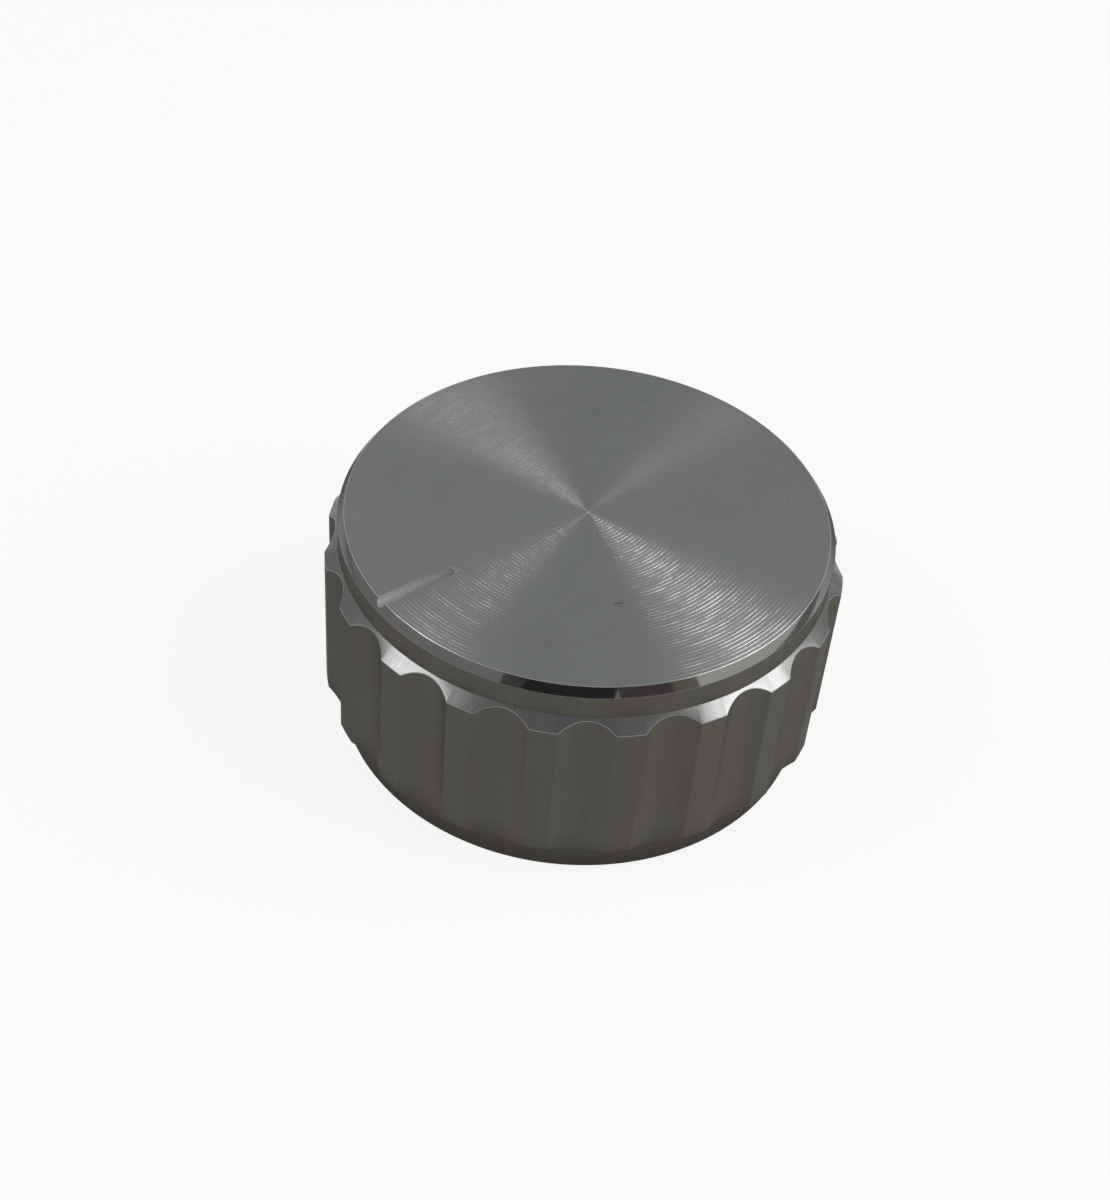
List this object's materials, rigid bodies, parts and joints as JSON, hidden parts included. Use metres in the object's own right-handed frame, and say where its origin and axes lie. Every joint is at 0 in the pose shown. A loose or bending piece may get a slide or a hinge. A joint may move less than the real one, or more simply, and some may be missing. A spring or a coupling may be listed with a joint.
{
  "type": "control knob",
  "caption": "Round fluted aluminium control knob with a faced top, an indicator line, a blind bore for a 6 mm shaft and a set screw.",
  "frame": {"origin": "centre of the flat underside of the foot ring, on the shaft's axis", "axes": "+Z along the shaft, away from the panel towards the faced top; +Y towards the indicator line; the set screw comes in from -Y"},
  "size_m": [0.0398, 0.0398, 0.0195],
  "materials": {
    "turned_aluminium": "fine turned face, mirror-cut rim chamfer, satin clear anodised grip",
    "screw_steel": "plain steel, lightly oiled"
  },
  "bodies": {
    "root": {"knob_body": "turned_aluminium", "grub_screw": "screw_steel"}
  },
  "joints": []
}
